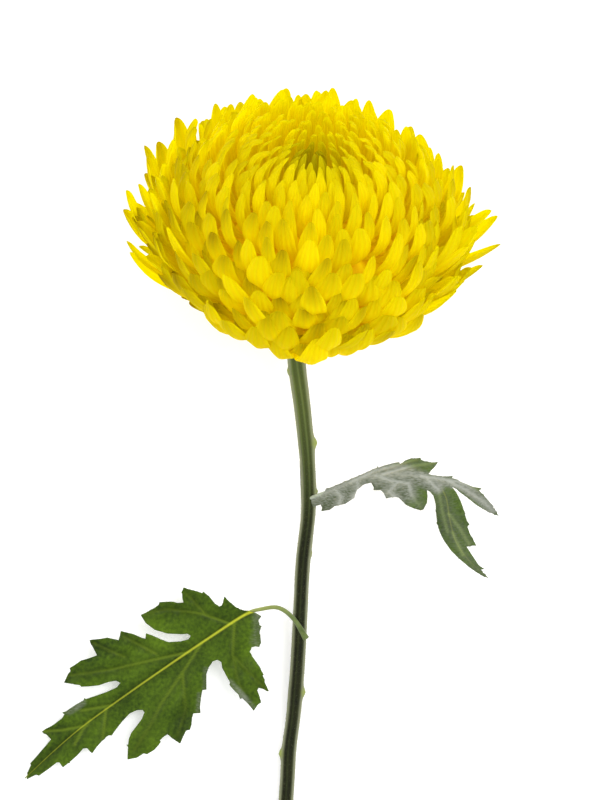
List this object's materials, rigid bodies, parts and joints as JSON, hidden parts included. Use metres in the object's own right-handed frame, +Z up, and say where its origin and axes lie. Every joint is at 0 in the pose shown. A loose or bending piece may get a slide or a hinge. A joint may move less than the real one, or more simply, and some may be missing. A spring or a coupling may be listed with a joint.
{
  "type": "cut flower",
  "caption": "Large incurved yellow chrysanthemum bloom on a cut green stem with lobed leaves, lying on a surface.",
  "frame": {"origin": "on the table, under the middle of the lying flower's bounding box", "axes": "+Z up from the table, +Y along the stem towards the bloom, +X to the right seen from above"},
  "size_m": [0.1506, 0.262, 0.0907],
  "materials": {
    "petal": "satin",
    "bract": "matte",
    "stem": "downy",
    "leaf": "satin",
    "leaf_underside": "downy"
  },
  "bodies": {
    "root": {"bloom": "petal", "involucre": "bract", "stem": "stem", "leaf_lower": "leaf", "leaf_upper": "leaf_underside"}
  },
  "joints": []
}
